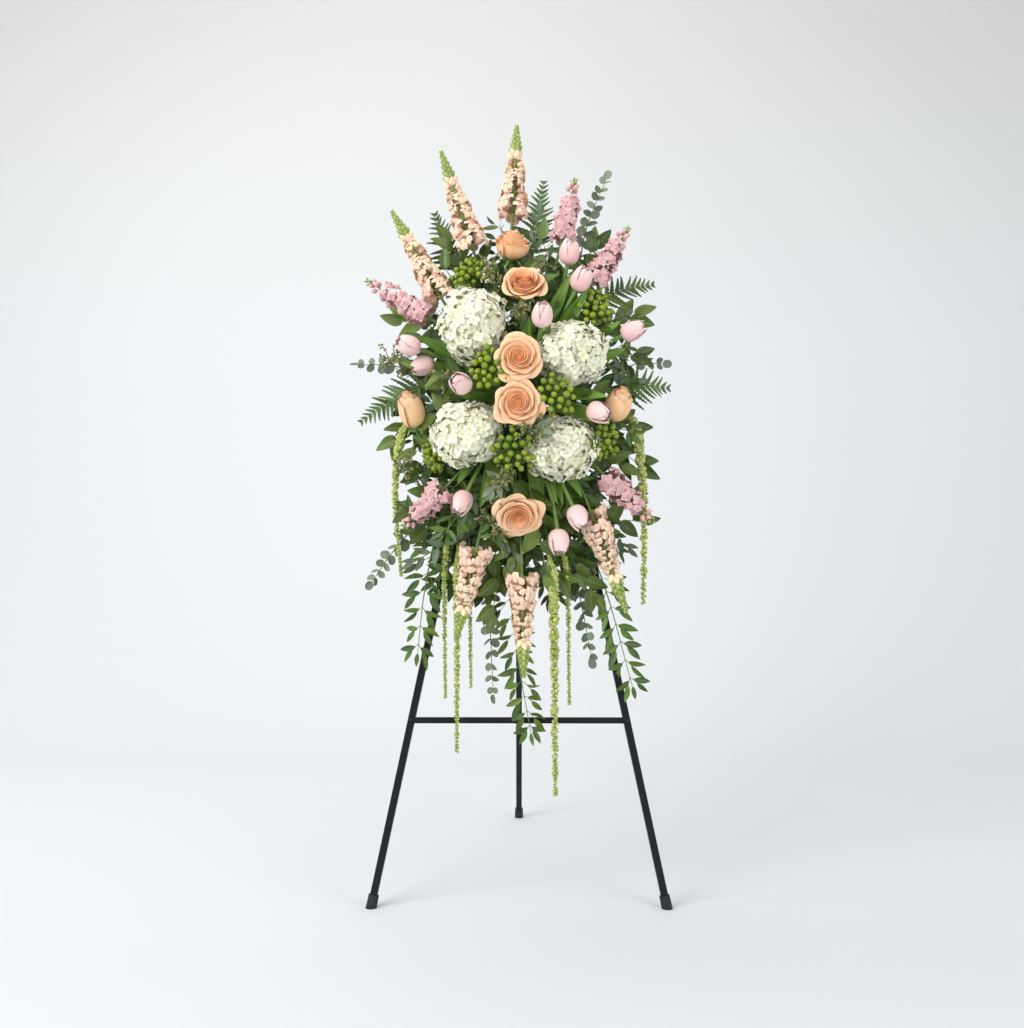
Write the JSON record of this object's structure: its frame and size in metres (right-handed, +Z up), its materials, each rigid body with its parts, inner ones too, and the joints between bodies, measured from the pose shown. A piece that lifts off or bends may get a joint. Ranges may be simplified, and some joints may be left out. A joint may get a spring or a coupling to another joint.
{
  "type": "standing funeral spray on an easel",
  "caption": "Tall oval spray of cut flowers and trailing greens, set in a foam holder that is tied to a folding tripod easel, for display beside a grave or coffin.",
  "frame": {"origin": "on the floor, under the middle of the whole spray's box", "axes": "+Z up, the flowers face -Y, the rear leg stands out to +Y, +X to the right as seen from the front"},
  "size_m": [0.6974, 0.8198, 1.664],
  "materials": {
    "amaranth_tassel": "matte",
    "easel_paint": "satin",
    "eucalyptus_leaf": "matte",
    "fern_leaf": "matte",
    "foam": "matte",
    "holder_plastic": "matte",
    "hydrangea_petal": "matte",
    "hypericum_berry": "satin",
    "lemon_leaf": "satin",
    "rose_petal": "matte",
    "rubber": "matte",
    "ruscus_leaf": "satin",
    "snapdragon_petal": "matte",
    "stock_petal": "matte",
    "tie_plastic": "satin",
    "tulip_petal": "satin"
  },
  "bodies": {
    "stand": {"amaranth_left": "amaranth_tassel", "amaranth_low_left": "amaranth_tassel", "amaranth_low_right": "amaranth_tassel", "amaranth_right": "amaranth_tassel", "cable_tie_left": "tie_plastic", "cable_tie_right": "tie_plastic", "easel_crossbar": "easel_paint", "easel_head": "easel_paint", "easel_leg_left": "easel_paint", "easel_leg_right": "easel_paint", "eucalyptus_left": "eucalyptus_leaf", "eucalyptus_low": "eucalyptus_leaf", "eucalyptus_right": "eucalyptus_leaf", "fern_left": "fern_leaf", "fern_right": "fern_leaf", "fern_top": "fern_leaf", "foam_block": "foam", "foot_left": "rubber", "foot_right": "rubber", "hinge_bolt": "easel_paint", "holder_tray": "holder_plastic", "hydrangea_lower_left": "hydrangea_petal", "hydrangea_lower_right": "hydrangea_petal", "hydrangea_upper_left": "hydrangea_petal", "hydrangea_upper_right": "hydrangea_petal", "hypericum_low": "hypericum_berry", "hypericum_right": "hypericum_berry", "hypericum_upper_left": "hypericum_berry", "hypericum_upper_right": "hypericum_berry", "lemon_leaf_left": "lemon_leaf", "lemon_leaf_right": "lemon_leaf", "rose_centre_high": "rose_petal", "rose_centre_low": "rose_petal", "rose_left": "rose_petal", "rose_low": "rose_petal", "rose_right": "rose_petal", "rose_top": "rose_petal", "rose_upper": "rose_petal", "ruscus_centre": "ruscus_leaf", "ruscus_left": "ruscus_leaf", "ruscus_right": "ruscus_leaf", "seeded_eucalyptus": "eucalyptus_leaf", "snapdragon_left": "snapdragon_petal", "snapdragon_low_centre": "snapdragon_petal", "snapdragon_low_left": "snapdragon_petal", "snapdragon_low_right": "snapdragon_petal", "snapdragon_top": "snapdragon_petal", "snapdragon_upper_left": "snapdragon_petal", "stock_left": "stock_petal", "stock_low_left": "stock_petal", "stock_low_right": "stock_petal", "stocks_upper_right": "stock_petal", "tulip_inner_right": "tulip_petal", "tulip_low_left": "tulip_petal", "tulip_right": "tulip_petal", "tulips_left": "tulip_petal", "tulips_low_right": "tulip_petal", "tulips_upper_right": "tulip_petal"},
    "rear_leg": {"easel_leg_rear": "easel_paint", "foot_rear": "rubber"}
  },
  "joints": [
    {"name": "rear_leg_hinge", "type": "hinge", "parent": "stand", "child": "rear_leg", "pos_m": [0.01011, -0.06857, 1.41255], "axis": [1, 0, 0], "range_deg": [-23, 0]}
  ]
}
